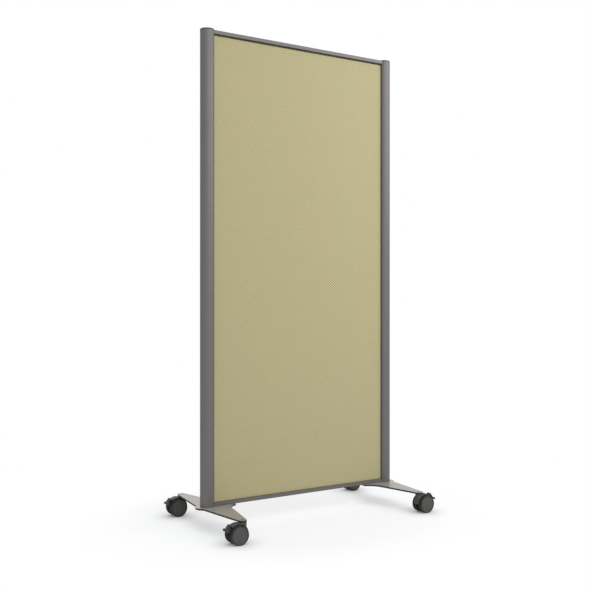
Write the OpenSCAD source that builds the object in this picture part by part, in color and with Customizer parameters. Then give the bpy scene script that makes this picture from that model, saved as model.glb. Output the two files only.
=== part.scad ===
// Rolling partition: a fabric panel framed by two round posts and two rails, standing on
// two foot plates with four locking twin-wheel casters. All sizes are in millimetres.
// The origin is on the floor under the middle of the panel, +X to the right as seen from
// the front, +Y to the rear and +Z up.

/* [Frame] */
// Height from the floor to the top of the post caps
overall_h = 1675; // [900:5:2100]
// Distance between the axes of the two posts
post_spacing = 755; // [500:5:1500]
// Outer diameter of a post
post_d = 48; // [44:1:60]
// Wall of a post
post_wall = 2; // [1.5:0.1:3]
// Depth of both rails, front to rear, which is also the width of a post's flat side
rail_depth = 30; // [27:1:34]
// Height of both rails
rail_h = 12.5; // [11.5:0.5:20]
// Wall of both rails
rail_wall = 1.6; // [1.2:0.1:2]
// How far the top rail lies below the top of the post caps
rail_drop = 2; // [0:0.5:4]
// Radius of the rails' long edges
rail_edge_r = 0.8; // [0.4:0.1:1]
// Thickness of the part of a post cap that shows
cap_h = 4; // [3:0.5:8]
// Radius of the upper edge of a post cap
cap_edge_r = 1.2; // [0.4:0.1:2]
// Length of the plug of a post cap inside the post
cap_plug_h = 14; // [8:1:30]
// Length of the threaded plug in the foot of a post
base_plug_h = 40; // [35:1:80]

/* [Panel] */
// Thickness of the board in the panel
core_t = 14; // [11:1:18]
// Thickness of the padded fabric on each face of the board
fabric_t = 2; // [1:0.5:4]
// Width of the dark joint between the panel and each post
side_reveal = 2; // [2:0.5:6]
// Height of the dark joint between the panel and the top rail
top_reveal = 5.5; // [3:0.5:9]
// Depth of the gasket strips, front to rear
gasket_depth = 10; // [6:1:14]

/* [Feet] */
// Gap between a foot plate and the hoods of its casters
plate_gap = 1.5; // [1:0.5:12]
// Thickness of a foot plate
plate_t = 6; // [5:0.5:10]
// Distance between the front and the rear caster stem
stem_spread = 436; // [360:2:560]
// How far the caster stems stand inward of the post axis
stem_inset = 11.5; // [6:0.5:20]
// Radius of a foot plate's tips
tip_r = 14; // [12:0.5:18]
// How far the outer edge of a foot plate lies outward of the post axis
heel = 30; // [27:1:34]
// Radius of the round lobe of a foot plate below the post
lobe_r = 30; // [27:1:36]
// How far the lobe's centre lies outward of the post axis
lobe_offset = 11; // [4:1:14]
// Length of a foot plate's tongue below the bottom rail, from the post axis
tongue_l = 101; // [97:1:112]
// Half the width of a foot plate's root, where the concave flare to the tongue begins
root_half_w = 61; // [55:1:70]
// How far the root reaches inward of the post axis
root_reach = 61.6; // [56:0.1:66]
// Radius of the concave flare
flare_r = 60; // [56:1:64]

/* [Fasteners] */
// Diameter of the screws that hold the rails to the posts
rail_screw_d = 4; // [3:0.5:5]
// Length of those screws below their heads
rail_screw_l = 24; // [14:1:26]
// Distance between the two screws at each end of a rail
rail_screw_pitch = 16; // [13:1:17]
// Diameter of the two bolts below each post
post_bolt_d = 8; // [6:0.5:9]
// How far those bolts reach into the threaded plug
post_bolt_l = 28; // [20:1:32]
// Distance between the two bolts below each post
post_bolt_pitch = 22; // [18:1:23]
// Diameter of the bolt through each tongue
tongue_bolt_d = 6; // [4:0.5:7]
// Distance from the post axis to the bolt through the tongue
tongue_bolt_x = 84; // [78:1:88]
// Diameter of the screws that hold the panel down on the bottom rail
panel_screw_d = 5; // [4:0.5:6]
// How far those screws reach into the board
panel_screw_l = 30; // [15:1:60]
// Number of those screws
panel_screw_count = 3; // [2:1:5]
// Distance between neighbouring panel screws
panel_screw_pitch = 220; // [60:5:240]

/* [Casters] */
// Diameter of the wheels
wheel_d = 62; // [58:1:64]
// Width of one wheel
wheel_w = 18; // [14:0.5:20]
// Distance between the inner faces of the two wheels of a caster
wheel_gap = 13; // [12.5:0.1:15]
// Thickness of the tread, which shows as a thin ring round the disc
tread_t = 1.6; // [1.4:0.2:3]
// Radius of the tread's edges
tread_edge_r = 1.2; // [0.5:0.1:1.3]
// Wall of a wheel's closed outer face, and of its rim below the tread
wheel_wall = 3; // [2:0.5:4]
// Diameter of a wheel's hub
hub_d = 16; // [12:1:20]
// Diameter of the axle
axle_d = 6; // [5:0.5:7]
// How far the axle trails behind the swivel stem
caster_trail = 20; // [19:0.5:22]
// Wall of the hood over the wheels
hood_t = 3.4; // [2:0.1:3.6]
// Gap between the tread and the hood
hood_gap = 1.6; // [0.8:0.1:1.8]
// Width of the hood, which covers the inner part of both treads
hood_w = 25; // [20:1:26]
// Angle of the hood's edge beside the brake, above the horizontal through the axle
hood_start = 50; // [48:1:60]
// Angle of the hood's other edge
hood_end = 176; // [165:1:190]
// Diameter of the hood's neck
neck_d = 27; // [26.5:0.5:32]
// Diameter of the swivel pin
swivel_d = 8; // [7:0.1:8.2]
// Length of the swivel pin inside the hood
swivel_l = 28; // [26:1:29]
// Diameter of the thread in the foot plate
thread_d = 10; // [8:0.5:12]
// Diameter of the stem's collar
collar_d = 26; // [16:1:26]
// Height of the stem's collar
collar_h = 1.2; // [1:0.1:3]
// Thickness of the snap ring on the swivel pin
ring_t = 1; // [0.8:0.1:1.4]
// Outer diameter of the snap ring
ring_d = 9.6; // [9.2:0.1:10.6]
// Depth of the snap ring's groove in the pin
groove_depth = 0.8; // [0.5:0.1:1]
// Depth of the snap ring below the stem's collar
ring_depth = 6; // [4:0.5:8]

/* [Brake] */
// Distance from the axle to the lever's pin
pivot_r = 39; // [38.5:0.5:41]
// Angle of the lever's pin above the horizontal through the axle
pivot_angle = 38; // [34:1:39]
// Diameter of the lever's pin
lever_pin_d = 3; // [2:0.5:4]
// Width of the lever
lever_w = 18; // [17:1:22]
// Radius of the cheeks around the pin
cheek_r = 4.5; // [4:0.1:5]
// Thickness of the upper tab
release_t = 3.6; // [2.4:0.2:4]
// How far the upper tab's tip lies beyond the axle
release_x = 27; // [26:0.5:31]
// How high the upper tab's tip lies above the axle
release_z = 32.5; // [31:0.5:34]
// Thickness of the outer tab
pedal_t = 5; // [4:0.2:7]
// Width of the outer tab's wide part, which reaches over both treads
pedal_w = 36; // [24:1:44]
// Length of that wide part
pedal_l = 9; // [7.5:0.5:9.5]
// Radius of the long edges of the outer tab's end
pedal_edge_r = 1.2; // [0.5:0.1:2]
// How far the outer tab's end lies beyond the axle
pedal_x = 40.5; // [39.5:0.5:46]
// How high the outer tab's end lies above the axle
pedal_z = 13.5; // [12.5:0.5:20]
// Angle of the brake shoe above the horizontal through the axle
shoe_angle = 24; // [21:1:25]
// Radius of the brake shoe's rounded edge
shoe_r = 2; // [1.5:0.1:2.4]
// Gap between the released shoe and the tread
shoe_gap = 1.7; // [1.4:0.1:2]
// Length of the shoe on each tread
shoe_l = 6; // [4:0.5:8]

/* [Fits] */
// Radial clearance of what turns
run_fit = 0.05; // [0.02:0.01:0.1]
// Clearance of what is plugged or bolted in
seat_fit = 0.1; // [0.05:0.05:0.2]
// End play beside what turns
side_play = 0.3; // [0.2:0.05:0.4]

/* [Hidden] */
$fn = 96;
SIDES = ["left", "right"];
ENDS = ["front", "rear"];
CASTERS = ["front_left", "rear_left", "front_right", "rear_right"];
FRAME_NODES = [
    "left_post", "right_post", "left_post_cap", "right_post_cap",
    "left_post_base", "right_post_base", "top_rail", "bottom_rail",
    "rail_blocks", "rail_screws", "panel_core", "front_fabric", "rear_fabric",
    "left_gasket", "right_gasket", "top_gasket", "panel_screws",
    "left_foot", "right_foot", "foot_bolts", "stem_rings"
];
CASTER_PARTS = [
    "stem", "hood", "axle", "front_wheel", "rear_wheel",
    "front_tread", "rear_tread", "brake_lever", "brake_pin"
];

wheel_r = wheel_d / 2;
arch_r = wheel_r + hood_gap;
hood_r = arch_r + hood_t;
plate_z = wheel_r + hood_r + plate_gap;

post_r = post_d / 2;
post_flat = sqrt(post_r * post_r - rail_depth * rail_depth / 4);
post_x = post_spacing / 2;
frame_z = plate_z + plate_t;
post_top = overall_h - cap_h;
rail_l = post_spacing - 2 * post_flat;
bottom_rail_top = frame_z + rail_h;
top_rail_top = overall_h - rail_drop;
top_rail_bottom = top_rail_top - rail_h;
panel_w = rail_l - 2 * side_reveal;
panel_h = top_rail_bottom - top_reveal - bottom_rail_top;

screw_head_h = 0.7 * rail_screw_d;
screw_head_r = rail_screw_d;
plug_flat = post_flat - post_wall - screw_head_h - side_play;
vent_r = post_r / 3;
block_w = rail_depth - 2 * rail_wall - 2 * seat_fit;
block_h = rail_h - 2 * rail_wall - 2 * seat_fit;
block_overhang = 10;
top_block_l = rail_screw_l + block_overhang;
bottom_block_l = tongue_bolt_x - post_flat + block_overhang;

arc_steps = 20;
bolt_head_ratio = 0.55;
head_r_ratio = 0.9;
key_ratio = 0.6;
head_room = 1;
cut = 1;

wheel_in = wheel_gap / 2;
wheel_out = wheel_in + wheel_w;
axle_half_l = wheel_out - wheel_wall - side_play;
web_w = wheel_gap - 2 * side_play;
boss_wall = 1;
boss_r = hub_d / 2 + boss_wall;
lug_inset = 0.5;
pin_lug_r = cheek_r - lug_inset;
arm_ratio = 1.5;
lug_arm_w = arm_ratio * pin_lug_r;
collar_z = plate_z - collar_h;
neck_top = collar_z - side_play;
swivel_z = neck_top - swivel_l;
ring_z = collar_z - ring_depth;
groove_r = swivel_d / 2 - groove_depth;
stem_x = post_x - stem_inset;
stem_y = stem_spread / 2;

pivot = pivot_r * [cos(pivot_angle), sin(pivot_angle)];
shoe_reach = wheel_r + shoe_gap + shoe_r;
shoe = shoe_reach * [cos(shoe_angle), sin(shoe_angle)];
release_tip = [release_x, release_z];
pedal_tip = [pedal_x, pedal_z];
pedal_way = (pedal_tip - pivot) / norm(pedal_tip - pivot);
pedal_root = pedal_tip - (pedal_l - pedal_t / 2) * pedal_way;
shoe_arm_w = arm_ratio * shoe_r;
lug_gap = 0.9;

// --- placing -------------------------------------------------------------------------

// A piece drawn for the left end of the frame, moved to its post
module at_side(side) {
    if (side == "left") translate([-post_x, 0, 0]) children();
    else translate([post_x, 0, 0]) mirror([1, 0, 0]) children();
}

// A piece drawn round its own stem axis, trailing along +X, moved to its corner
module at_corner(c) {
    is_left = c == "front_left" || c == "rear_left";
    is_front = c == "front_left" || c == "front_right";
    translate([is_left ? -stem_x : stem_x, is_front ? -stem_y : stem_y, 0])
        rotate([0, 0, is_left ? 180 : 0]) children();
}

// The sign of a caster's own Y axis on which the wheel nearer to one end lies
function wheel_side(c, end) =
    (c == "front_left" || c == "rear_left" ? 1 : -1) * (end == "front" ? 1 : -1);

// A flat outline in a caster's X-Z plane round the axle, made w thick
module across(w) {
    translate([caster_trail, 0, wheel_r]) rotate([90, 0, 0])
        linear_extrude(w, center = true) children();
}

// The same, as two equal slabs between the distances y0 and y1 from the middle
module both_sides(y0, y1) {
    for (s = [-1, 1])
        translate([0, s * (y0 + y1) / 2, 0]) across(y1 - y0) children();
}

// --- outlines ------------------------------------------------------------------------

// Circle with a flat side towards +X
module flatted(r, flat) {
    intersection() {
        circle(r);
        translate([-2 * r, -2 * r]) square([2 * r + flat, 4 * r]);
    }
}

module rounded_rect(w, h, r) {
    square([w - 2 * r, h], center = true);
    square([w, h - 2 * r], center = true);
    for (x = [-1, 1]) for (y = [-1, 1])
        translate([x * (w / 2 - r), y * (h / 2 - r)]) circle(r);
}

// Points along a round stretch, from angle a0 to a1
function arc(centre, r, a0, a1) =
    [for (i = [0:arc_steps]) let (a = a0 + (a1 - a0) * i / arc_steps)
        centre + r * [cos(a), sin(a)]];

function angle_of(v) = atan2(v.y, v.x);

// Bar with round ends from point p to point q
module bar(p, q, w) {
    a = angle_of(q - p);
    polygon(concat(arc(q, w / 2, a - 90, a + 90), arc(p, w / 2, a + 90, a + 270)));
}

// Bar from p, with a round end there, to q, where it is square with edges of radius r
module tab(p, q, w, r) {
    a = angle_of(q - p);
    end = q - r * [cos(a), sin(a)];
    out = (w / 2 - r) * [-sin(a), cos(a)];
    polygon(concat(arc(end - out, r, a - 90, a), arc(end + out, r, a, a + 90),
        arc(p, w / 2, a + 90, a + 270)));
}

// Circle cut down to the angles a0 to a1
module sector(r, a0, a1) {
    steps = 4;
    intersection() {
        circle(r);
        polygon(concat([[0, 0]], [for (i = [0:steps])
            let (a = a0 + (a1 - a0) * i / steps) 2 * r * [cos(a), sin(a)]]));
    }
}

// Point where the line from p touches a circle, on the side that turn gives
function tangent(p, centre, r, turn) =
    let (d = centre - p, l = norm(d), a = atan2(d.y, d.x) + turn * asin(r / l))
    p + sqrt(l * l - r * r) * [cos(a), sin(a)];

// --- frame ---------------------------------------------------------------------------

module post_body() {
    screw_zs = [frame_z + rail_h / 2, top_rail_top - rail_h / 2];
    difference() {
        translate([0, 0, frame_z]) linear_extrude(post_top - frame_z) difference() {
            flatted(post_r, post_flat);
            flatted(post_r - post_wall, post_flat - post_wall);
        }
        for (z = screw_zs) for (s = [-1, 1])
            translate([0, s * rail_screw_pitch / 2, z]) rotate([0, 90, 0])
                cylinder(r = rail_screw_d / 2 + seat_fit, h = post_r);
    }
}

module left_post() { color("dimgray") at_side("left") post_body(); }
module right_post() { color("dimgray") at_side("right") post_body(); }

// The outline of what is plugged into a post: clear of its wall and of the screw heads
module plug_outline() {
    intersection() {
        flatted(post_r - post_wall - seat_fit, post_flat);
        translate([-post_d, -post_d]) square([post_d + plug_flat, 2 * post_d]);
    }
}

module cap_body() {
    top_r = post_r - cap_edge_r;
    translate([0, 0, post_top]) {
        intersection() {
            rotate_extrude() {
                square([top_r, cap_h]);
                square([post_r, cap_h - cap_edge_r]);
                translate([top_r, cap_h - cap_edge_r]) circle(cap_edge_r);
            }
            linear_extrude(cap_h) flatted(post_d, post_flat);
        }
        translate([0, 0, -cap_plug_h]) linear_extrude(cap_plug_h) difference() {
            plug_outline();
            circle(vent_r);
        }
    }
}

module left_post_cap() { color("#3c3c3c") at_side("left") cap_body(); }
module right_post_cap() { color("#3c3c3c") at_side("right") cap_body(); }

// Threaded aluminium plug in the foot of a post, which takes the two post bolts
module base_body() {
    translate([0, 0, frame_z]) linear_extrude(base_plug_h) difference() {
        plug_outline();
        for (s = [-1, 1])
            translate([0, s * post_bolt_pitch / 2]) circle(post_bolt_d / 2 + seat_fit);
    }
}

module left_post_base() { color("silver") at_side("left") base_body(); }
module right_post_base() { color("silver") at_side("right") base_body(); }

// Hollow rail along X, with its underside at z
module rail_body(z) {
    translate([-rail_l / 2, 0, z + rail_h / 2]) rotate([90, 0, 90])
        linear_extrude(rail_l) difference() {
            rounded_rect(rail_depth, rail_h, rail_edge_r);
            square([rail_depth - 2 * rail_wall, rail_h - 2 * rail_wall], center = true);
        }
}

module top_rail() { color("dimgray") rail_body(top_rail_bottom); }

panel_screw_xs = [for (i = [0:panel_screw_count - 1])
    (i - (panel_screw_count - 1) / 2) * panel_screw_pitch];

module bottom_rail() {
    tongue_x = post_x - tongue_bolt_x;
    color("dimgray") difference() {
        rail_body(frame_z);
        for (s = [-1, 1])
            translate([s * tongue_x, 0, frame_z - cut])
                cylinder(r = tongue_bolt_d / 2 + seat_fit, h = rail_wall + 2 * cut);
        for (x = panel_screw_xs) {
            translate([x, 0, frame_z + rail_h / 2])
                cylinder(r = panel_screw_d / 2 + seat_fit, h = rail_h);
            translate([x, 0, frame_z - cut])
                cylinder(r = panel_screw_d + head_room, h = rail_h / 2);
        }
    }
}

// Solid block in the end of a rail, from the post's flat side inward
module block_body(z, l, bolt) {
    difference() {
        translate([post_flat, -block_w / 2, z + (rail_h - block_h) / 2])
            cube([l, block_w, block_h]);
        for (s = [-1, 1])
            translate([0, s * rail_screw_pitch / 2, z + rail_h / 2]) rotate([0, 90, 0])
                cylinder(r = rail_screw_d / 2 + seat_fit, h = post_flat + rail_screw_l);
        if (bolt)
            translate([tongue_bolt_x, 0, z])
                cylinder(r = tongue_bolt_d / 2 + seat_fit, h = rail_h);
    }
}

module rail_blocks() {
    color("silver") for (side = SIDES) at_side(side) {
        block_body(frame_z, bottom_block_l, true);
        block_body(top_rail_bottom, top_block_l, false);
    }
}

// Screw pointing up from its head, which hangs below the plane z = 0
module screw(d, l, head_r, head_h) {
    difference() {
        union() {
            cylinder(r = d / 2, h = l);
            translate([0, 0, -head_h]) cylinder(r = head_r, h = head_h);
        }
        translate([0, 0, -head_h - cut])
            cylinder(r = key_ratio * d / 2, h = head_h / 2 + cut, $fn = 6);
    }
}

module rail_screws() {
    color("silver") for (side = SIDES) at_side(side)
        for (z = [frame_z, top_rail_bottom]) for (s = [-1, 1])
            translate([post_flat - post_wall, s * rail_screw_pitch / 2, z + rail_h / 2])
                rotate([0, 90, 0])
                    screw(rail_screw_d, rail_screw_l, screw_head_r, screw_head_h);
}

// --- panel ---------------------------------------------------------------------------

module panel_core() {
    color("tan") difference() {
        translate([-panel_w / 2, -core_t / 2, bottom_rail_top])
            cube([panel_w, core_t, panel_h]);
        for (x = panel_screw_xs)
            translate([x, 0, bottom_rail_top - cut])
                cylinder(r = panel_screw_d / 2 + seat_fit, h = panel_screw_l + cut);
    }
}

module fabric_body() {
    translate([-panel_w / 2, core_t / 2, bottom_rail_top])
        cube([panel_w, fabric_t, panel_h]);
}

module front_fabric() { color("#b9b08a") mirror([0, 1, 0]) fabric_body(); }
module rear_fabric() { color("#b9b08a") fabric_body(); }

// Rubber strip between a post's flat side and the panel
module gasket_body() {
    translate([post_flat, -gasket_depth / 2, bottom_rail_top])
        cube([side_reveal, gasket_depth, panel_h + top_reveal]);
}

module left_gasket() { color("#202020") at_side("left") gasket_body(); }
module right_gasket() { color("#202020") at_side("right") gasket_body(); }

module top_gasket() {
    color("#202020") translate([-panel_w / 2, -gasket_depth / 2, bottom_rail_top + panel_h])
        cube([panel_w, gasket_depth, top_reveal]);
}

module panel_screws() {
    color("silver") for (x = panel_screw_xs)
        translate([x, 0, bottom_rail_top - rail_wall])
            screw(panel_screw_d, rail_wall + panel_screw_l,
                  panel_screw_d, bolt_head_ratio * panel_screw_d);
}

// --- feet ----------------------------------------------------------------------------

// Outline of a foot plate's rear half, round the post axis with the panel towards +X:
// the lobe below the post, the straight outer edge, the tip, the straight inner edge and
// the concave flare to the tongue
function half_foot() =
    let (
        tip = [stem_inset, stem_y],
        lobe = [-lobe_offset, 0],
        root = [root_reach, root_half_w],
        outer = tangent([-heel, 0], tip, tip_r, 1),
        inner = tangent(root, tip, tip_r, -1),
        out_dir = (outer - [-heel, 0]) / norm(outer - [-heel, 0]),
        in_dir = (inner - root) / norm(inner - root),
        flare = root + flare_r * [in_dir.y, -in_dir.x],
        from_lobe = heel - lobe_offset,
        along = from_lobe * out_dir.x
            + sqrt(pow(from_lobe * out_dir.x, 2) + lobe_r * lobe_r - from_lobe * from_lobe),
        joint = [-heel, 0] + along * out_dir
    )
    concat(
        arc(lobe, lobe_r, 180, angle_of(joint - lobe)),
        arc(tip, tip_r, angle_of(outer - tip), angle_of(inner - tip)),
        arc(flare, flare_r, 360 + angle_of(root - flare),
            180 + acos((flare.x - tongue_l) / flare_r))
    );

module foot_outline() {
    half = half_foot();
    polygon(concat(half, [for (i = [len(half) - 1:-1:1]) [half[i].x, -half[i].y]]));
}

module foot_body() {
    difference() {
        translate([0, 0, plate_z]) linear_extrude(plate_t) foot_outline();
        for (s = [-1, 1]) {
            translate([stem_inset, s * stem_y, plate_z - cut])
                cylinder(r = thread_d / 2 + seat_fit, h = plate_t + 2 * cut);
            translate([0, s * post_bolt_pitch / 2, plate_z - cut])
                cylinder(r = post_bolt_d / 2 + seat_fit, h = plate_t + 2 * cut);
        }
        translate([tongue_bolt_x, 0, plate_z - cut])
            cylinder(r = tongue_bolt_d / 2 + seat_fit, h = plate_t + 2 * cut);
    }
}

module left_foot() { color("gray") at_side("left") foot_body(); }
module right_foot() { color("gray") at_side("right") foot_body(); }

// Bolt up through a foot plate, whose head is in proportion to its thread
module foot_bolt(d, l) {
    screw(d, plate_t + l, head_r_ratio * d, bolt_head_ratio * d);
}

module foot_bolts() {
    color("silver") for (side = SIDES) at_side(side) translate([0, 0, plate_z]) {
        for (s = [-1, 1])
            translate([0, s * post_bolt_pitch / 2, 0]) foot_bolt(post_bolt_d, post_bolt_l);
        translate([tongue_bolt_x, 0, 0])
            foot_bolt(tongue_bolt_d, rail_h - rail_wall - seat_fit);
    }
}

// --- casters -------------------------------------------------------------------------

module stem() {
    color("silver") {
        translate([0, 0, plate_z]) cylinder(r = thread_d / 2, h = plate_t - seat_fit);
        translate([0, 0, collar_z]) cylinder(r = collar_d / 2, h = collar_h);
        difference() {
            translate([0, 0, swivel_z + side_play])
                cylinder(r = swivel_d / 2, h = collar_z - swivel_z - side_play);
            translate([0, 0, ring_z]) difference() {
                cylinder(r = swivel_d, h = ring_t);
                translate([0, 0, -cut]) cylinder(r = groove_r, h = ring_t + 2 * cut);
            }
        }
    }
}

// Snap rings in the grooves of the four swivel pins, each open on one side
module stem_rings() {
    color("silver") for (c = CASTERS) at_corner(c) translate([0, 0, ring_z])
        difference() {
            cylinder(r = ring_d / 2, h = ring_t);
            translate([0, 0, -cut]) cylinder(r = groove_r, h = ring_t + 2 * cut);
            translate([0, -groove_r / 2, -cut]) cube([ring_d, groove_r, ring_t + 2 * cut]);
        }
}

// Hood over both wheels. Its middle wall holds the axle, the swivel pin and the lever's pin
module hood() {
    color("#4a4a4a") difference() {
        union() {
            difference() {
                union() {
                    across(hood_w) sector(hood_r, hood_start, hood_end);
                    translate([0, 0, wheel_r]) cylinder(r = neck_d / 2, h = neck_top - wheel_r);
                }
                both_sides(web_w / 2, hood_w) circle(arch_r);
            }
            across(web_w) {
                circle(boss_r);
                bar([0, 0], pivot, lug_arm_w);
                translate(pivot) circle(pin_lug_r);
            }
        }
        across(web_w + 2 * cut) circle(axle_d / 2 + run_fit);
        across(web_w + 2 * cut) translate(pivot) circle(lever_pin_d / 2 + run_fit);
        translate([0, 0, swivel_z]) cylinder(r = swivel_d / 2 + run_fit, h = swivel_l + cut);
        translate([0, 0, ring_z - side_play])
            cylinder(r = ring_d / 2 + side_play, h = ring_t + 2 * side_play);
    }
}

module axle() { color("silver") across(2 * axle_half_l) circle(axle_d / 2); }

// A ring-shaped profile of radius and distance from the caster's middle, turned round
// the axle on the side s
module on_axle(s) {
    translate([caster_trail, 0, wheel_r]) rotate([-90 * s, 0, 0])
        rotate_extrude() children();
}

module wheel(s) {
    bore_r = axle_d / 2 + run_fit;
    rim_r = wheel_r - tread_t;
    color("#4e4e4c") on_axle(s) {
        translate([bore_r, wheel_in]) square([hub_d / 2 - bore_r, wheel_w - wheel_wall]);
        translate([0, wheel_out - wheel_wall]) square([rim_r, wheel_wall]);
        translate([rim_r - wheel_wall, wheel_in]) square([wheel_wall, wheel_w]);
    }
}

module tread(s) {
    color("#2c2c2c") on_axle(s) translate([wheel_r - tread_t, wheel_in]) intersection() {
        square([tread_t, wheel_w]);
        union() {
            square([tread_t - tread_edge_r, wheel_w]);
            translate([0, tread_edge_r]) square([tread_t, wheel_w - 2 * tread_edge_r]);
            for (y = [tread_edge_r, wheel_w - tread_edge_r])
                translate([tread_t - tread_edge_r, y]) circle(tread_edge_r);
        }
    }
}

// Rocker on the pin: the wide outer tab is trodden down to press the shoe on both treads,
// the upper tab to let go. Its middle is open for the hood's lug.
module brake_lever() {
    color("#3a3a3a") difference() {
        union() {
            difference() {
                across(lever_w) {
                    translate(pivot) circle(cheek_r);
                    bar(pivot, release_tip, release_t);
                    tab(pivot, pedal_tip, pedal_t, pedal_edge_r);
                    bar(pivot, shoe, shoe_arm_w);
                }
                across(wheel_gap) {
                    translate(pivot) circle(pin_lug_r + lug_gap);
                    circle(pivot_r);
                }
            }
            across(pedal_w) tab(pedal_root, pedal_tip, pedal_t, pedal_edge_r);
            both_sides(wheel_gap / 2, wheel_gap / 2 + shoe_l) translate(shoe) circle(shoe_r);
        }
        across(lever_w + 2 * cut) translate(pivot) circle(lever_pin_d / 2 + run_fit);
    }
}

module brake_pin() { color("silver") across(lever_w) translate(pivot) circle(lever_pin_d / 2); }

// --- the parts, one by one -----------------------------------------------------------

left_post();
right_post();
left_post_cap();
right_post_cap();
left_post_base();
right_post_base();
top_rail();
bottom_rail();
rail_blocks();
rail_screws();
panel_core();
front_fabric();
rear_fabric();
left_gasket();
right_gasket();
top_gasket();
panel_screws();
left_foot();
right_foot();
foot_bolts();
stem_rings();
for (c = CASTERS) {
    at_corner(c) stem();
    at_corner(c) hood();
    at_corner(c) axle();
    at_corner(c) brake_lever();
    at_corner(c) brake_pin();
    for (end = ENDS) {
        at_corner(c) wheel(wheel_side(c, end));
        at_corner(c) tread(wheel_side(c, end));
    }
}
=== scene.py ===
"""Rolling partition: the finish of a fabric screen in a grey metal frame on locking casters.

The file follows the object as it is put together: posts, rails, caps, panel, gaskets, feet,
then the casters from the stem to the brake lever. All sizes are in metres.
"""
import math

import bmesh
import bpy
from mathutils import Matrix, Vector


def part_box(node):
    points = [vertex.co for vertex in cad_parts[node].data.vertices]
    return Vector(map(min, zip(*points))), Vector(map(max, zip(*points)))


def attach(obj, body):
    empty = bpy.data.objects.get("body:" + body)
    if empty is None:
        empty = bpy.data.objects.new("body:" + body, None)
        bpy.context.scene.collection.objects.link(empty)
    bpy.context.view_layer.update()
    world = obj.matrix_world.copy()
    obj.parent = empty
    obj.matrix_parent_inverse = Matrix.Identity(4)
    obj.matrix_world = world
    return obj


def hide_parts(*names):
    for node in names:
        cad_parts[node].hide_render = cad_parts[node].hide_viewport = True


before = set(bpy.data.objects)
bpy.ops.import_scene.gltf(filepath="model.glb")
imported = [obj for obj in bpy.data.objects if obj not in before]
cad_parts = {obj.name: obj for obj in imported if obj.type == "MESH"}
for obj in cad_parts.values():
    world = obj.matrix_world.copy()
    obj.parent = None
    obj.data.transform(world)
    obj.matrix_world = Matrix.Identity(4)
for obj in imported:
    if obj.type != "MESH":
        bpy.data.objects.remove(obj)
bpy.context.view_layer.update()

# --- Studio ---------------------------------------------------------------------------
# The screen stands in an empty white studio and is seen from 33 degrees to its left, at half
# its height, with upright verticals. Three soft lamps add to an even light from all round.

CAMERA_PLACE = (-1.761, -2.662, 0.781)
CAMERA_TURN = -33.1
CAMERA_LENS = 54.3
CAMERA_SHIFT = 0.0014

camera_data = bpy.data.cameras.new("photo_camera")
camera_data.sensor_width = 36.0
camera_data.lens = CAMERA_LENS
camera_data.shift_y = CAMERA_SHIFT
camera_data.clip_end = 60.0
camera = bpy.data.objects.new("photo_camera", camera_data)
camera.location = CAMERA_PLACE
camera.rotation_euler = (math.radians(90.0), 0.0, math.radians(CAMERA_TURN))
bpy.context.scene.collection.objects.link(camera)
bpy.context.scene.camera = camera
bpy.context.scene.view_settings.view_transform = "Standard"


def soft_lamp(name, place, aim, size, power):
    """A square area lamp at place that looks at aim."""
    lamp = bpy.data.lights.new(name, "AREA")
    lamp.shape = "SQUARE"
    lamp.size = size
    lamp.energy = power
    lamp_object = bpy.data.objects.new(name, lamp)
    direction = Vector(aim) - Vector(place)
    lamp_object.rotation_euler = direction.to_track_quat("-Z", "Y").to_euler()
    lamp_object.location = place
    bpy.context.scene.collection.objects.link(lamp_object)


PANEL_MIDDLE = (0.0, 0.0, 0.9)
soft_lamp("front_lamp", (0.0, -5.0, 4.2), PANEL_MIDDLE, 4.5, 138.0)
soft_lamp("side_lamp", (1.6, -1.2, 1.9), PANEL_MIDDLE, 1.2, 14.0)
soft_lamp("rear_lamp", (0.6, 3.4, 3.0), PANEL_MIDDLE, 3.0, 42.0)


WHITE = (1.0, 1.0, 1.0, 1.0)
ROUND_LIGHT = 0.60


def seen_rays(nodes, links):
    """One where the camera, gloss or glass looks, and nought for the light's own rays."""
    path = nodes.new("ShaderNodeLightPath")
    seen = path.outputs["Is Camera Ray"]
    for ray in ("Is Glossy Ray", "Is Transmission Ray"):
        either = nodes.new("ShaderNodeMath")
        either.operation = "MAXIMUM"
        links.new(seen, either.inputs[0])
        links.new(path.outputs[ray], either.inputs[1])
        seen = either.outputs[0]
    return seen


def studio_world():
    """Even light from all round, and plain white wherever the camera, gloss or glass sees it."""
    world = bpy.data.worlds.new("studio_world")
    world.use_nodes = True
    nodes, links = world.node_tree.nodes, world.node_tree.links
    nodes.clear()
    light = nodes.new("ShaderNodeBackground")
    light.inputs["Color"].default_value = WHITE
    light.inputs["Strength"].default_value = ROUND_LIGHT
    white = nodes.new("ShaderNodeBackground")
    white.inputs["Color"].default_value = WHITE
    white.inputs["Strength"].default_value = 1.0
    mix = nodes.new("ShaderNodeMixShader")
    out = nodes.new("ShaderNodeOutputWorld")
    links.new(seen_rays(nodes, links), mix.inputs["Fac"])
    links.new(light.outputs[0], mix.inputs[1])
    links.new(white.outputs[0], mix.inputs[2])
    links.new(mix.outputs[0], out.inputs["Surface"])
    bpy.context.scene.world = world


studio_world()

FLOOR_REACH = 12.0
floor_mesh = bpy.data.meshes.new("studio_floor")
floor_bm = bmesh.new()
bmesh.ops.create_grid(floor_bm, x_segments=2, y_segments=2, size=FLOOR_REACH)
floor_bm.to_mesh(floor_mesh)
floor_bm.free()
floor = bpy.data.objects.new("studio_floor", floor_mesh)
bpy.context.scene.collection.objects.link(floor)

FLOOR_GREY = (0.80, 0.80, 0.80, 1.0)
SHADOW_GREY = (0.31, 0.31, 0.31, 1.0)
SHADOW_REACH = (0.62, 0.46)
SHADOW_FADE = (0.75, 1.35)
GLOW_COLOUR = (0.98, 0.99, 1.0, 1.0)
GLOW = 0.68
# How far the painted contact shade in the floor's glow reaches.
CONTACT_SHADE_REACH = 0.075


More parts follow.
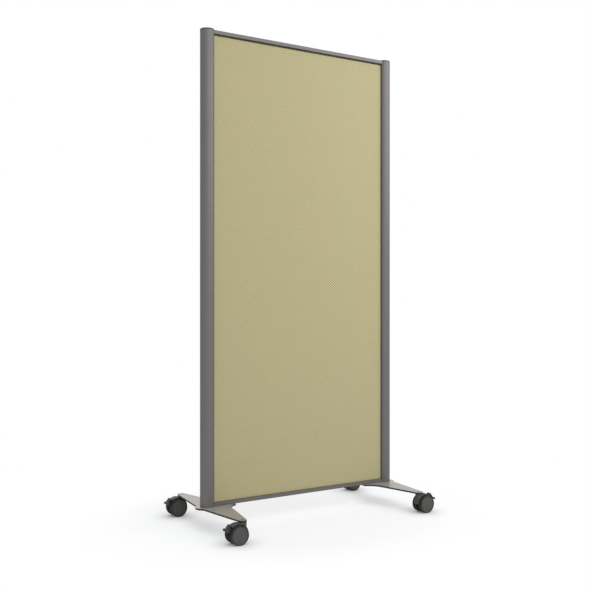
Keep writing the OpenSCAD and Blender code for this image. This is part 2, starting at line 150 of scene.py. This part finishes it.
def floor_material():
    """Pale floor with the object's soft shadow, which fades into the white round it."""
    material = bpy.data.materials.new("studio_floor")
    material.use_nodes = True
    nodes, links = material.node_tree.nodes, material.node_tree.links
    nodes.clear()
    paint = nodes.new("ShaderNodeBsdfDiffuse")
    paint.inputs["Color"].default_value = FLOOR_GREY
    shadow = nodes.new("ShaderNodeBsdfDiffuse")
    shadow.inputs["Color"].default_value = SHADOW_GREY
    # An occlusion node darkens the floor's glow near the feet and wheels: a painted contact
    # shade.
    painted_contact_shade = nodes.new("ShaderNodeAmbientOcclusion")
    painted_contact_shade.inputs["Distance"].default_value = CONTACT_SHADE_REACH
    glow_with_painted_shade = nodes.new("ShaderNodeMath")
    glow_with_painted_shade.operation = "MULTIPLY"
    glow_with_painted_shade.inputs[1].default_value = GLOW
    links.new(painted_contact_shade.outputs["AO"], glow_with_painted_shade.inputs[0])
    glow = nodes.new("ShaderNodeEmission")
    glow.inputs["Color"].default_value = GLOW_COLOUR
    links.new(glow_with_painted_shade.outputs[0], glow.inputs["Strength"])
    near = nodes.new("ShaderNodeAddShader")
    links.new(shadow.outputs[0], near.inputs[0])
    links.new(glow.outputs[0], near.inputs[1])
    white = nodes.new("ShaderNodeEmission")
    white.inputs["Color"].default_value = WHITE
    white.inputs["Strength"].default_value = 1.0
    place = nodes.new("ShaderNodeTexCoord")
    scaled = nodes.new("ShaderNodeMapping")
    scaled.inputs["Scale"].default_value = (1 / SHADOW_REACH[0], 1 / SHADOW_REACH[1], 0.0)
    links.new(place.outputs["Object"], scaled.inputs["Vector"])
    distance = nodes.new("ShaderNodeVectorMath")
    distance.operation = "LENGTH"
    links.new(scaled.outputs["Vector"], distance.inputs[0])
    fade = nodes.new("ShaderNodeMapRange")
    fade.interpolation_type = "SMOOTHSTEP"
    fade.inputs["From Min"].default_value = SHADOW_FADE[0]
    fade.inputs["From Max"].default_value = SHADOW_FADE[1]
    links.new(distance.outputs["Value"], fade.inputs["Value"])
    shown = nodes.new("ShaderNodeMixShader")
    links.new(fade.outputs["Result"], shown.inputs["Fac"])
    links.new(near.outputs[0], shown.inputs[1])
    links.new(white.outputs[0], shown.inputs[2])
    mix = nodes.new("ShaderNodeMixShader")
    out = nodes.new("ShaderNodeOutputMaterial")
    links.new(seen_rays(nodes, links), mix.inputs["Fac"])
    links.new(paint.outputs[0], mix.inputs[1])
    links.new(shown.outputs[0], mix.inputs[2])
    links.new(mix.outputs[0], out.inputs["Surface"])
    return material


floor.data.materials.append(floor_material())

# --- Posts ----------------------------------------------------------------------------
# Each post is a drawn aluminium tube with one flat side for the rails, sawn square at both
# ends and powder coated in a satin, slightly metallic warm grey.

FRAME_GREY = (0.158, 0.150, 0.148)
EDGE_TINT = (0.55, 0.54, 0.53)


def new_material(name, colour, roughness, metallic=0.0, **sockets):
    """A material with a plain Principled shader: returns it with its nodes, links and shader."""
    material = bpy.data.materials.new(name)
    material.use_nodes = True
    nodes, links = material.node_tree.nodes, material.node_tree.links
    shader = nodes["Principled BSDF"]
    shader.inputs["Base Color"].default_value = (*colour, 1.0)
    shader.inputs["Roughness"].default_value = roughness
    shader.inputs["Metallic"].default_value = metallic
    for socket, value in sockets.items():
        shader.inputs[socket.replace("_", " ")].default_value = value
    return material, nodes, links, shader


def noise_at(nodes, links, scale, detail=3.0, stretch=(1.0, 1.0, 1.0)):
    """Noise on object coordinates, stretched by axis; returns its value socket."""
    place = nodes.new("ShaderNodeTexCoord")
    mapping = nodes.new("ShaderNodeMapping")
    mapping.inputs["Scale"].default_value = stretch
    noise = nodes.new("ShaderNodeTexNoise")
    noise.inputs["Scale"].default_value = scale
    noise.inputs["Detail"].default_value = detail
    links.new(place.outputs["Object"], mapping.inputs["Vector"])
    links.new(mapping.outputs["Vector"], noise.inputs["Vector"])
    return noise.outputs["Fac"]


def remap(nodes, links, value, low, high, from_low=0.0, from_high=1.0):
    """A value from one range brought to another; returns the result socket."""
    ramp = nodes.new("ShaderNodeMapRange")
    ramp.inputs["From Min"].default_value = from_low
    ramp.inputs["From Max"].default_value = from_high
    ramp.inputs["To Min"].default_value = low
    ramp.inputs["To Max"].default_value = high
    links.new(value, ramp.inputs["Value"])
    return ramp.outputs["Result"]


def shade_colour(nodes, links, shader, dark, light, value):
    """Base colour between dark and light by a value socket."""
    mix = nodes.new("ShaderNodeMix")
    mix.data_type = "RGBA"
    mix.inputs["A"].default_value = (*dark, 1.0)
    mix.inputs["B"].default_value = (*light, 1.0)
    links.new(value, mix.inputs["Factor"])
    links.new(mix.outputs["Result"], shader.inputs["Base Color"])


def bump_from(nodes, links, shader, value, depth, strength=1.0):
    """Surface relief of a real depth from a value socket."""
    bump = nodes.new("ShaderNodeBump")
    bump.inputs["Strength"].default_value = strength
    bump.inputs["Distance"].default_value = depth
    links.new(value, bump.inputs["Height"])
    links.new(bump.outputs["Normal"], shader.inputs["Normal"])


def powder_coat(name, colour, roughness, metallic):
    """Satin metallic powder coat: a very fine orange peel and slightly uneven flake."""
    material, nodes, links, shader = new_material(name, colour, roughness, metallic)
    shader.inputs["Specular Tint"].default_value = (*EDGE_TINT, 1.0)
    flake = noise_at(nodes, links, 900.0, 2.0)
    dark = [0.90 * c for c in colour]
    light = [1.10 * c for c in colour]
    shade_colour(nodes, links, shader, dark, light, flake)
    cloud = noise_at(nodes, links, 9.0, 2.0)
    rough = remap(nodes, links, cloud, roughness - 0.02, roughness + 0.03, 0.3, 0.7)
    links.new(rough, shader.inputs["Roughness"])
    bump_from(nodes, links, shader, noise_at(nodes, links, 420.0, 1.0), 0.00003, 0.5)
    return material


def shown_as(name, bm, material, body, slot, *nodes, smooth_angle=40.0):
    """The bmesh as a piece of its own that stands for the CAD nodes and rides on the body."""
    mesh = bpy.data.meshes.new(name)
    bm.to_mesh(mesh)
    bm.free()
    mesh.shade_smooth()
    mesh.set_sharp_from_angle(angle=math.radians(smooth_angle))
    mesh.materials.append(material)
    piece = bpy.data.objects.new(name, mesh)
    bpy.context.scene.collection.objects.link(piece)
    if nodes:
        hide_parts(*nodes)
    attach(piece, body)
    return piece


def finish_node(node, material):
    """The CAD node stays as it is and takes this material."""
    node_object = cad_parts[node]
    node_object.data.materials.clear()
    node_object.data.materials.append(material)


def bevel_sharp(bm, width, segments=2, angle=30.0):
    """Round every edge that is sharper than the angle."""
    sharp = [
        e
        for e in bm.edges
        if len(e.link_faces) == 2 and e.calc_face_angle(0.0) > math.radians(angle)
    ]
    bmesh.ops.bevel(
        bm,
        geom=sharp,
        offset=width,
        offset_type="OFFSET",
        segments=segments,
        profile=0.5,
        affect="EDGES",
        clamp_overlap=True,
        material=-1,
    )


def solid_of(node):
    """A copy of a CAD node's mesh with its points merged and its flat faces whole."""
    bm = bmesh.new()
    bm.from_mesh(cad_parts[node].data)
    bmesh.ops.remove_doubles(bm, verts=bm.verts, dist=0.000002)
    bmesh.ops.dissolve_limit(
        bm, angle_limit=math.radians(0.5), verts=bm.verts[:], edges=bm.edges[:]
    )
    return bm


POST_SEGMENTS = 120
POST_WALL = 0.002
frame_coat = powder_coat("frame_coat", FRAME_GREY, 0.48, 0.55)


def post(side):
    """A round tube with one flat side, from the foot plate up to the cap."""
    node = side + "_post"
    low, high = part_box(node)
    radius = (high.y - low.y) / 2
    inward = 1 if side == "left" else -1
    axis_x = low.x + radius if side == "left" else high.x - radius
    flat_x = high.x if side == "left" else low.x
    bm = bmesh.new()
    bmesh.ops.create_circle(bm, segments=POST_SEGMENTS, radius=radius, cap_ends=False)
    bmesh.ops.translate(bm, verts=bm.verts, vec=(axis_x, 0.0, low.z))
    bmesh.ops.bisect_plane(
        bm,
        geom=bm.verts[:] + bm.edges[:],
        plane_co=(flat_x, 0.0, 0.0),
        plane_no=(inward, 0.0, 0.0),
        clear_outer=True,
    )
    ends = [v for v in bm.verts if abs(v.co.x - flat_x) < 1e-6]
    bm.edges.new(ends)
    walls = bmesh.ops.extrude_edge_only(bm, edges=bm.edges[:])["geom"]
    top = [v for v in walls if isinstance(v, bmesh.types.BMVert)]
    bmesh.ops.translate(bm, verts=top, vec=(0.0, 0.0, high.z - low.z))
    bmesh.ops.recalc_face_normals(bm, faces=bm.faces)
    bmesh.ops.solidify(bm, geom=bm.faces[:], thickness=POST_WALL)
    bmesh.ops.recalc_face_normals(bm, faces=bm.faces)
    shown_as(node + "_tube", bm, frame_coat, "frame", "frame_paint", node)


for side in ("left", "right"):
    post(side)

# --- Threaded plugs, end blocks and screws ---------------------------------------------
# A drawn aluminium plug in the foot of each post takes the bolts, and solid blocks in the
# rail ends take the screws from inside the posts. All screws are zinc-plated steel.


def drawn_aluminium():
    """Bare drawn aluminium with fine lines along its length."""
    material, nodes, links, shader = new_material(
        "drawn_aluminium", (0.60, 0.60, 0.61), 0.34, 1.0
    )
    lines = noise_at(nodes, links, 300.0, 2.0, (1.0, 1.0, 0.02))
    shade_colour(nodes, links, shader, (0.52, 0.52, 0.53), (0.68, 0.68, 0.69), lines)
    bump_from(nodes, links, shader, lines, 0.00002, 0.4)
    return material


def zinc_plate():
    """Bright zinc with a cloudy sheen and a few duller spots."""
    material, nodes, links, shader = new_material("zinc_plate", (0.58, 0.59, 0.60), 0.30, 1.0)
    cloud = noise_at(nodes, links, 160.0, 4.0)
    shade_colour(nodes, links, shader, (0.46, 0.47, 0.48), (0.66, 0.67, 0.69), cloud)
    links.new(remap(nodes, links, cloud, 0.22, 0.42), shader.inputs["Roughness"])
    bump_from(nodes, links, shader, noise_at(nodes, links, 1400.0, 2.0), 0.00001, 0.4)
    return material


aluminium = drawn_aluminium()
zinc = zinc_plate()
for node in ("left_post_base", "right_post_base", "rail_blocks"):
    finish_node(node, aluminium)
for node in ("rail_screws", "panel_screws"):
    finish_node(node, zinc)

# --- Rails ----------------------------------------------------------------------------
# Two flat hollow bars, coated like the posts, close the panel above and below. Their long
# edges are rounded and they butt against the posts' flat sides.

for node in ("top_rail", "bottom_rail"):
    finish_node(node, frame_coat)

# --- Post caps ------------------------------------------------------------------------
# A moulded cap in a darker, dead matt plastic is pressed into the top of each post.

PLASTIC_SHEEN = 0.25


def moulded_plastic(name, colour, roughness, grain=1600.0, depth=0.00002):
    """Dark moulded plastic with a fine eroded grain and slightly rubbed high spots."""
    material, nodes, links, shader = new_material(
        name, colour, roughness, Specular_IOR_Level=PLASTIC_SHEEN
    )
    cloud = noise_at(nodes, links, 55.0, 4.0)
    dark = [0.86 * c for c in colour]
    light = [1.16 * c for c in colour]
    shade_colour(nodes, links, shader, dark, light, cloud)
    rough = remap(nodes, links, cloud, roughness - 0.06, roughness + 0.06, 0.3, 0.7)
    links.new(rough, shader.inputs["Roughness"])
    bump_from(nodes, links, shader, noise_at(nodes, links, grain, 2.0), depth, 0.6)
    return material


cap_plastic = moulded_plastic("cap_plastic", (0.050, 0.049, 0.048), 0.55)
for node in ("left_post_cap", "right_post_cap"):
    finish_node(node, cap_plastic)

# --- Board ----------------------------------------------------------------------------
# The panel's core is a raw fibre board that the cloth and a thin layer of padding cover.


def fibre_board():
    """Pressed wood fibre: short pale and dark flecks."""
    material, nodes, links, shader = new_material("fibre_board", (0.36, 0.25, 0.13), 0.85)
    flecks = noise_at(nodes, links, 420.0, 5.0, (1.0, 1.0, 2.5))
    shade_colour(nodes, links, shader, (0.25, 0.16, 0.08), (0.46, 0.34, 0.20), flecks)
    bump_from(nodes, links, shader, flecks, 0.0001, 0.6)
    return material


finish_node("panel_core", fibre_board())

# --- Fabric ---------------------------------------------------------------------------
# A heavy khaki cloth is stretched over thin padding on each face and turned round the
# board's edges into the joints. Its weave is a lattice of raised floats in two tones.

CLOTH = 0.0008
CLOTH_TURN = 0.004
CLOTH_EDGE_R = 0.0024
CLOTH_EDGE_SEGMENTS = 6
FLOATS_ACROSS = 182.0
FLOATS_UP = 162.0
REPEATS_ACROSS = FLOATS_ACROSS / 2
REPEATS_UP = FLOATS_UP * 2 / 3
CLOTH_DARK = (0.175, 0.152, 0.058)
CLOTH_LIGHT = (0.690, 0.625, 0.372)
FLOAT_SHARE = 0.26
REPEAT_SHARE = 0.57
YARN_SHARE = 0.15
SLUB_SHARE = 0.04
FLOAT_RELIEF = 0.0005


def woven_cloth():
    """Diamond lattice of floats in a larger two-tone repeat, with slubs and a soft sheen."""
    material, nodes, links, shader = new_material(
        "woven_cloth", CLOTH_LIGHT, 0.88, Sheen_Weight=0.25, Sheen_Roughness=0.45
    )

    def math_node(operation, a, b):
        node = nodes.new("ShaderNodeMath")
        node.operation = operation
        for socket, value in zip(node.inputs, (a, b)):
            if isinstance(value, (int, float)):
                socket.default_value = value
            else:
                links.new(value, socket)
        return node.outputs[0]

    def lattice(per_metre_across, per_metre_up):
        turns = (math.tau * per_metre_across, math.tau * per_metre_up)
        waves = [
            math_node("COSINE", math_node("MULTIPLY", along, turn), 0.0)
            for along, turn in zip((across, up), turns)
        ]
        return remap(nodes, links, math_node("MULTIPLY", *waves), 0.0, 1.0, -0.75, 0.75)

    place = nodes.new("ShaderNodeTexCoord")
    split = nodes.new("ShaderNodeSeparateXYZ")
    links.new(place.outputs["Object"], split.inputs[0])
    across = math_node("ADD", split.outputs["X"], split.outputs["Y"])
    up = split.outputs["Z"]
    floats = lattice(FLOATS_ACROSS, FLOATS_UP)
    repeats = lattice(REPEATS_ACROSS, REPEATS_UP)
    yarn_noise = noise_at(nodes, links, 950.0, 3.0, (0.35, 1.0, 1.0))
    slubs = noise_at(nodes, links, 60.0, 3.0, (0.25, 1.0, 4.0))
    tone = math_node("MULTIPLY", floats, FLOAT_SHARE)
    layers = ((repeats, REPEAT_SHARE), (yarn_noise, YARN_SHARE), (slubs, SLUB_SHARE))
    for layer, share in layers:
        tone = math_node("ADD", tone, math_node("MULTIPLY", layer, share))
    shade_colour(nodes, links, shader, CLOTH_DARK, CLOTH_LIGHT, tone)
    twist = math_node("MULTIPLY", yarn_noise, 0.35)
    bump_from(nodes, links, shader, math_node("ADD", floats, twist), FLOAT_RELIEF, 0.9)
    return material


cloth = woven_cloth()


def cloth_cover(node, front):
    """Cloth over one face of the panel: the face, rolled edges and the turned-in border."""
    low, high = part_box(node)
    face_y = low.y if front else high.y
    inner_y = face_y + CLOTH_TURN if front else face_y - CLOTH_TURN
    bm = bmesh.new()
    bmesh.ops.create_cube(bm, size=1.0)
    size = (high.x - low.x + 2 * CLOTH, abs(inner_y - face_y), high.z - low.z + CLOTH)
    bmesh.ops.scale(bm, verts=bm.verts, vec=size)
    centre = (0.0, (face_y + inner_y) / 2, low.z + size[2] / 2)
    bmesh.ops.translate(bm, verts=bm.verts, vec=centre)
    back = [f for f in bm.faces if all(abs(v.co.y - inner_y) < 1e-6 for v in f.verts)]
    bmesh.ops.delete(bm, geom=back, context="FACES_ONLY")
    rolled = [e for e in bm.edges if len(e.link_faces) == 2]
    bmesh.ops.bevel(
        bm,
        geom=rolled,
        offset=CLOTH_EDGE_R,
        offset_type="OFFSET",
        segments=CLOTH_EDGE_SEGMENTS,
        profile=0.5,
        affect="EDGES",
        clamp_overlap=True,
        material=-1,
    )
    bmesh.ops.recalc_face_normals(bm, faces=bm.faces)
    outward = -1 if front else 1
    face = max(bm.faces, key=lambda f: f.calc_area())
    if face.normal.y * outward < 0:
        bmesh.ops.reverse_faces(bm, faces=bm.faces)
    bmesh.ops.solidify(bm, geom=bm.faces[:], thickness=CLOTH)
    bmesh.ops.recalc_face_normals(bm, faces=bm.faces)
    piece = shown_as(node + "_cover", bm, cloth, "frame", "panel_fabric", node)


cloth_cover("front_fabric", True)
cloth_cover("rear_fabric", False)

# --- Gaskets --------------------------------------------------------------------------
# Dark grey-brown rubber strips are pressed between the panel and the frame and show as the
# joints at both sides and at the top. Round beads run along the faces that show there.

RUBBER_SHEEN = 0.15


def soft_rubber(name, colour, roughness):
    """Matt dark rubber with a dusty bloom."""
    material, nodes, links, shader = new_material(
        name, colour, roughness, Specular_IOR_Level=RUBBER_SHEEN
    )
    bloom = noise_at(nodes, links, 120.0, 4.0)
    light = [1.7 * c for c in colour]
    dust = remap(nodes, links, bloom, 0.0, 1.0, 0.4, 0.8)
    shade_colour(nodes, links, shader, colour, light, dust)
    bump_from(nodes, links, shader, noise_at(nodes, links, 900.0, 2.0), 0.00003, 0.6)
    return material


BEAD_R = 0.0005
BEAD_SEGMENTS = 12
TOP_BEADS = (0.25, 0.75)
gasket_rubber = soft_rubber("gasket_rubber", (0.140, 0.131, 0.074), 0.8)


def gasket(node, along, beads):
    """A strip along one axis, with round beads on its front and rear face at these places."""
    low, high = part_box(node)
    size = high - low
    bm = bmesh.new()
    bmesh.ops.create_cube(bm, size=1.0)
    bmesh.ops.scale(bm, verts=bm.verts, vec=size)
    bmesh.ops.translate(bm, verts=bm.verts, vec=(low + high) / 2)
    for y in (low.y, high.y):
        for place in beads:
            bead = bmesh.ops.create_cone(
                bm,
                cap_ends=True,
                segments=BEAD_SEGMENTS,
                radius1=BEAD_R,
                radius2=BEAD_R,
                depth=max(size) - 2 * BEAD_R,
            )["verts"]
            if along == "x":
                bmesh.ops.rotate(bm, verts=bead, matrix=Matrix.Rotation(math.pi / 2, 3, "Y"))
                bmesh.ops.translate(bm, verts=bead, vec=(0.0, y, place))
            else:
                bmesh.ops.translate(bm, verts=bead, vec=(place, y, (low.z + high.z) / 2))
    shown_as(node + "_strip", bm, gasket_rubber, "frame", "gasket_rubber", node)


for side, sign in (("left", -1), ("right", 1)):
    low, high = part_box(side + "_gasket")
    outer_x = max(abs(low.x), abs(high.x))
    cloth_x = min(abs(low.x), abs(high.x)) + CLOTH
    gasket(side + "_gasket", "z", [sign * (outer_x + cloth_x) / 2])
low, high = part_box("top_gasket")
open_h = high.z - low.z - CLOTH
gasket("top_gasket", "x", [high.z - step * open_h for step in TOP_BEADS])

# --- Foot plates ----------------------------------------------------------------------
# Each foot is one thick plate, cut to an arrow-like outline, with eased edges. Its top has a
# paler, smoother coat than the frame; its edges and underside take a near-black copy of the
# coat, which is painted shade.

FOOT_EASE = 0.0007
FOOT_SMOOTH_ANGLE = 20.0
UPPER_FACE = 0.8
foot_coat = powder_coat("foot_coat", (0.408, 0.397, 0.378), 0.28, 0.25)
# The near-black copy of the foot coat, for edges and underside, is painted shade.
foot_edge_painted_shade = powder_coat("foot_edge_painted_shade", (0.040, 0.038, 0.036), 0.45, 0.20)
for side in ("left", "right"):
    node = side + "_foot"
    foot_bm = solid_of(node)
    bevel_sharp(foot_bm, FOOT_EASE, 2)
    foot_bm.normal_update()
    for face in foot_bm.faces:
        # Faces that do not look up take the near-black copy: painted shade on edges and
        # underside.
        face.material_index = 0 if face.normal.z > UPPER_FACE else 1
    plate = shown_as(
        node + "_plate",
        foot_bm,
        foot_coat,
        "frame",
        "foot_paint",
        node,
        smooth_angle=FOOT_SMOOTH_ANGLE,
    )
    plate.data.materials.append(foot_edge_painted_shade)
finish_node("foot_bolts", zinc)

# --- Casters --------------------------------------------------------------------------
# Each caster turns on a blackened steel stem with a snap ring. A moulded hood holds the axle
# between two wheels, each with a soft tread, and a rocking brake lever behind them.

CORNERS = ("front_left", "rear_left", "front_right", "rear_right")
ENDS = ("front", "rear")

hood_plastic = moulded_plastic("hood_plastic", (0.072, 0.071, 0.067), 0.55)
wheel_plastic = moulded_plastic("wheel_plastic", (0.076, 0.075, 0.072), 0.55)
lever_plastic = moulded_plastic("lever_plastic", (0.038, 0.037, 0.036), 0.50)
tread_rubber = soft_rubber("tread_rubber", (0.027, 0.027, 0.026), 0.75)


def blackened_steel():
    """Oxide-black steel, a little oily, with worn greyer patches."""
    material, nodes, links, shader = new_material(
        "blackened_steel", (0.040, 0.040, 0.042), 0.42, 0.8
    )
    wear = noise_at(nodes, links, 240.0, 4.0)
    worn = remap(nodes, links, wear, 0.0, 1.0, 0.45, 0.75)
    shade_colour(nodes, links, shader, (0.032, 0.032, 0.034), (0.075, 0.074, 0.074), worn)
    bump_from(nodes, links, shader, noise_at(nodes, links, 1400.0, 2.0), 0.00001, 0.4)
    return material


black_steel = blackened_steel()
finish_node("stem_rings", zinc)
for corner in CORNERS:
    finish_node(corner + "_stem", black_steel)
    finish_node(corner + "_axle", zinc)
    finish_node(corner + "_brake_pin", black_steel)

# --- Caster hoods ---------------------------------------------------------------------
# The hood is one moulding: a fender over the inner half of both wheels, a middle wall and a
# round neck. All its outer edges are rounded by the mould.

HOOD_EASE = 0.0006
for corner in CORNERS:
    node = corner + "_hood"
    hood_bm = solid_of(node)
    bevel_sharp(hood_bm, HOOD_EASE, 2)
    shown_as(
        node + "_moulding", hood_bm, hood_plastic, corner + "_swivel", "caster_plastic", node
    )

# --- Wheels and treads ----------------------------------------------------------------
# A wheel is a moulded disc, plain outside with one fine groove near its rim, and ribbed
# inside between hub and rim. The tread round it has a parting ridge and a lip over the rim.

WHEEL_STEPS = 96
DISC_CROWN = 0.0004
GROOVE = 0.0006
HUB_R = 0.008
BORE_R = 0.00305
WALL = 0.003
RIM_WALL = 0.003
SPOKES = 6
SPOKE_T = 0.002
SPOKE_SET_BACK = 0.002
SPOKE_BITE = 0.0005
FACE_SHOULDER_R = 0.0014
BACK_SHOULDER_R = 0.0012
SHOULDER_STEPS = 8
LIP_W = 0.002
LIP_DEPTH = 0.0017
LIP_EASE = 0.0003
TREAD_RIDGE = 0.00012
RIDGE_HALF_W = 0.0005


def turned(profile, closed=True):
    """A profile of (radius, distance along the axle) turned round the Y axis."""
    bm = bmesh.new()
    verts = [bm.verts.new((r, y, 0.0)) for r, y in profile]
    edges = [bm.edges.new(pair) for pair in zip(verts, verts[1:])]
    if closed:
        edges.append(bm.edges.new((verts[-1], verts[0])))
    bmesh.ops.spin(
        bm,
        geom=verts + edges,
        cent=(0.0, 0.0, 0.0),
        axis=(0.0, 1.0, 0.0),
        angle=math.tau,
        steps=WHEEL_STEPS,
        use_merge=True,
        use_duplicate=False,
    )
    bmesh.ops.remove_doubles(bm, verts=bm.verts, dist=0.000001)
    bmesh.ops.recalc_face_normals(bm, faces=bm.faces)
    return bm


def arc(centre_r, centre_y, radius, start, stop):
    """Points of a profile along an arc, from one angle to another."""
    angles = [start + (stop - start) * i / SHOULDER_STEPS for i in range(SHOULDER_STEPS + 1)]
    return [(centre_r + radius * math.cos(a), centre_y + radius * math.sin(a)) for a in angles]


def set_on_axle(bm, middle, outward):
    """Mirror a part whose outside looks along +Y where needed, and bring it to its place."""
    bmesh.ops.scale(bm, verts=bm.verts, vec=(1.0, outward, 1.0))
    if outward < 0:
        bmesh.ops.reverse_faces(bm, faces=bm.faces)
    bmesh.ops.translate(bm, verts=bm.verts, vec=middle)


def wheel(corner, end):
    """A wheel and its tread, from the sizes of their CAD nodes."""
    name = f"{corner}_{end}"
    low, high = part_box(name + "_wheel")
    outer_low, outer_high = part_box(name + "_tread")
    middle = (low + high) / 2
    rim_r = (high.z - low.z) / 2
    tread_r = (outer_high.z - outer_low.z) / 2
    half_w = (high.y - low.y) / 2
    outward = 1 if end == "rear" else -1
    face = half_w - LIP_DEPTH
    back = -half_w
    profile = [
        (0.0, face + DISC_CROWN),
        (0.45 * rim_r, face + 0.8 * DISC_CROWN),
        (0.80 * rim_r, face),
        (0.86 * rim_r, face - 0.2 * GROOVE),
        (0.875 * rim_r, face - GROOVE),
        (0.895 * rim_r, face - GROOVE),
        (0.91 * rim_r, face - 0.2 * GROOVE),
        (rim_r, face),
        (rim_r, back),
        (rim_r - RIM_WALL, back),
        (rim_r - RIM_WALL, half_w - WALL),
        (HUB_R, half_w - WALL),
        (HUB_R, back),
        (BORE_R, back),
        (BORE_R, half_w - WALL),
        (0.0, half_w - WALL),
    ]
    bm = turned(profile, closed=False)
    spoke_l = rim_r - RIM_WALL - HUB_R + 2 * SPOKE_BITE
    spoke_w = 2 * half_w - WALL - SPOKE_SET_BACK
    spoke_y = back + SPOKE_SET_BACK + spoke_w / 2
    for i in range(SPOKES):
        spoke = bmesh.ops.create_cube(bm, size=1.0)["verts"]
        bmesh.ops.scale(bm, verts=spoke, vec=(spoke_l, spoke_w, SPOKE_T))
        place = (HUB_R + spoke_l / 2 - SPOKE_BITE, spoke_y, 0.0)
        bmesh.ops.translate(bm, verts=spoke, vec=place)
        turn = Matrix.Rotation(math.tau * i / SPOKES, 3, "Y")
        bmesh.ops.rotate(bm, verts=spoke, matrix=turn)
    set_on_axle(bm, middle, outward)
    body = name + "_roller"
    shown_as(name + "_disc", bm, wheel_plastic, body, "wheel_plastic", name + "_wheel")

    side_r = tread_r - TREAD_RIDGE
    lip_r = side_r - LIP_W
    back_arc = (side_r - BACK_SHOULDER_R, back + BACK_SHOULDER_R, BACK_SHOULDER_R)
    face_arc = (side_r - FACE_SHOULDER_R, half_w - FACE_SHOULDER_R, FACE_SHOULDER_R)
    profile = [(rim_r, back)]
    profile += arc(*back_arc, -math.pi / 2, 0.0)
    profile += [(side_r, -RIDGE_HALF_W), (tread_r, 0.0), (side_r, RIDGE_HALF_W)]
    profile += arc(*face_arc, 0.0, math.pi / 2)
    profile += [(lip_r + LIP_EASE, half_w), (lip_r, half_w - LIP_EASE)]
    profile += [(lip_r, face), (rim_r, face)]
    bm = turned(profile)
    set_on_axle(bm, middle, outward)
    shown_as(name + "_tyre", bm, tread_rubber, body, "tread_rubber", name + "_tread")


for corner in CORNERS:
    for end in ENDS:
        wheel(corner, end)

# --- Brake levers ---------------------------------------------------------------------
# A moulded rocker on a steel pin: its wide outer tab is trodden down to brake and has three
# grip ribs across it, and its upper tab lets go again.

LEVER_EASE = 0.0005
PIVOT_R = 0.039
PIVOT_ANGLE = math.radians(38.0)
PIVOT = Vector((math.cos(PIVOT_ANGLE), 0.0, math.sin(PIVOT_ANGLE))) * PIVOT_R
PEDAL_TIP = Vector((0.0405, 0.0, 0.0135))
PEDAL_T = 0.005
RIB_R = 0.0006
RIB_STEPS = (0.64, 0.76, 0.88)


def grip_ribs(bm, axle, trailing, width):
    """Three half-round ribs across the top of the outer tab."""
    along = (PEDAL_TIP - PIVOT).normalized()
    top = Vector((-along.z, 0.0, along.x)) * PEDAL_T / 2
    for step in RIB_STEPS:
        rib = bmesh.ops.create_cone(
            bm, cap_ends=True, segments=12, radius1=RIB_R, radius2=RIB_R, depth=width
        )["verts"]
        bmesh.ops.rotate(bm, verts=rib, matrix=Matrix.Rotation(math.pi / 2, 3, "X"))
        place = PIVOT.lerp(PEDAL_TIP, step) + top
        bmesh.ops.translate(bm, verts=rib, vec=(trailing * place.x, 0.0, place.z))
        bmesh.ops.translate(bm, verts=rib, vec=axle)


for corner in CORNERS:
    node = corner + "_brake_lever"
    lever_bm = solid_of(node)
    bevel_sharp(lever_bm, LEVER_EASE, 2)
    axle_low, axle_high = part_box(corner + "_axle")
    lever_low, lever_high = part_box(node)
    trailing = 1 if corner.endswith("right") else -1
    rib_l = lever_high.y - lever_low.y - 4 * RIB_R
    grip_ribs(lever_bm, (axle_low + axle_high) / 2, trailing, rib_l)
    shown_as(
        node + "_rocker", lever_bm, lever_plastic, corner + "_brake", "lever_plastic", node
    )
